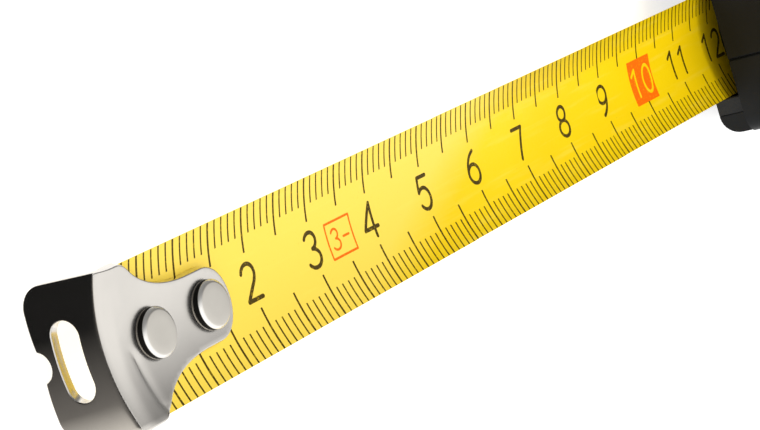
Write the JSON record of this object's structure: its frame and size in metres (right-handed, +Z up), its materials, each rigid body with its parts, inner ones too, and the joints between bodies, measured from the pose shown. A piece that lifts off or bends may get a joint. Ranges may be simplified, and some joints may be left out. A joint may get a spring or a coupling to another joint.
{
  "type": "pocket tape measure",
  "caption": "Pocket tape measure: a spring-wound steel blade with a riveted end hook, in a black two-part case with a sliding thumb lock and a belt clip.",
  "frame": {"origin": "middle of the flat base that the case stands on", "axes": "+X the way the blade is pulled out, +Y across the blade towards the belt clip, +Z up"},
  "size_m": [0.177, 0.0264, 0.0505],
  "materials": {
    "case_plastic": "black moulded plastic with a fine spark texture",
    "grip_rubber": "black overmoulded rubber, dull",
    "label_film": "blank grey label film",
    "spool_plastic": "natural white acetal",
    "blade_paint": "yellow lacquered steel strip with printed dark scale",
    "hook_nickel": "nickel plated steel, satin",
    "button_plastic": "black moulded plastic",
    "spring_steel": "blued spring steel",
    "clip_steel": "bright plated spring steel",
    "screw_zinc": "zinc plated steel"
  },
  "bodies": {
    "case": {"case_left_shell": "case_plastic", "case_right_shell": "case_plastic", "rubber_grip": "grip_rubber", "mouth_bumper": "grip_rubber", "side_label": "label_film", "centre_post": "screw_zinc", "return_spring": "spring_steel", "friction_washer_left": "spool_plastic", "friction_washer_right": "spool_plastic", "tape_lead": "blade_paint", "case_screw_1": "screw_zinc", "case_screw_2": "screw_zinc", "case_screw_3": "screw_zinc", "case_screw_4": "screw_zinc", "clip_base": "clip_steel", "clip_screw": "screw_zinc"},
    "spool": {"spool_drum": "spool_plastic", "spool_cover": "spool_plastic", "tape_coil": "blade_paint"},
    "blade": {"blade_front": "blade_paint", "hook_rivet_front": "hook_nickel", "hook_rivet_rear": "hook_nickel"},
    "blade_middle": {"blade_middle": "blade_paint"},
    "blade_rear": {"blade_rear": "blade_paint"},
    "hook": {"end_hook": "hook_nickel"},
    "lock": {"lock_button": "button_plastic"},
    "brake": {"lock_brake": "spring_steel"},
    "clip": {"clip_leaf": "clip_steel"}
  },
  "joints": [
    {"name": "blade_slide", "type": "slide", "parent": "case", "child": "blade", "axis": [1, 0, 0], "range_m": [-0.1187, 0]},
    {"name": "blade_middle_slide", "type": "slide", "parent": "case", "child": "blade_middle", "axis": [1, 0, 0], "range_m": [-0.0826, 0.0001]},
    {"name": "blade_rear_slide", "type": "slide", "parent": "case", "child": "blade_rear", "axis": [1, 0, 0], "range_m": [-0.0484, 0.0001]},
    {"name": "spool_turn", "type": "hinge", "parent": "case", "child": "spool", "pos_m": [-0.004, 0, 0.02702], "axis": [0, 1, 0], "range_deg": [-0.1, 389.5]},
    {"name": "hook_float", "type": "slide", "parent": "blade", "child": "hook", "axis": [1, 0, 0], "range_m": [-0.001, 0]},
    {"name": "lock_slide", "type": "slide", "parent": "case", "child": "lock", "axis": [-0.6482, 0, 0.7615], "range_m": [0, 0.005]},
    {"name": "brake_lift", "type": "slide", "parent": "case", "child": "brake", "axis": [0, 0, 1], "range_m": [-0.00001, 0.00151]},
    {"name": "clip_flex", "type": "hinge", "parent": "case", "child": "clip", "pos_m": [-0.004, 0.01325, 0.0432], "axis": [1, 0, 0], "range_deg": [0, 8], "stiffness_Nm_per_rad": 0.6}
  ],
  "couplings": [
    {"joint": "blade_middle_slide", "follows": "blade_slide", "ratio": 0.695},
    {"joint": "blade_rear_slide", "follows": "blade_slide", "ratio": 0.4065},
    {"joint": "spool_turn", "follows": "blade_slide", "rad_per_m": -57.14},
    {"joint": "brake_lift", "follows": "lock_slide", "ratio": 0.3}
  ]
}
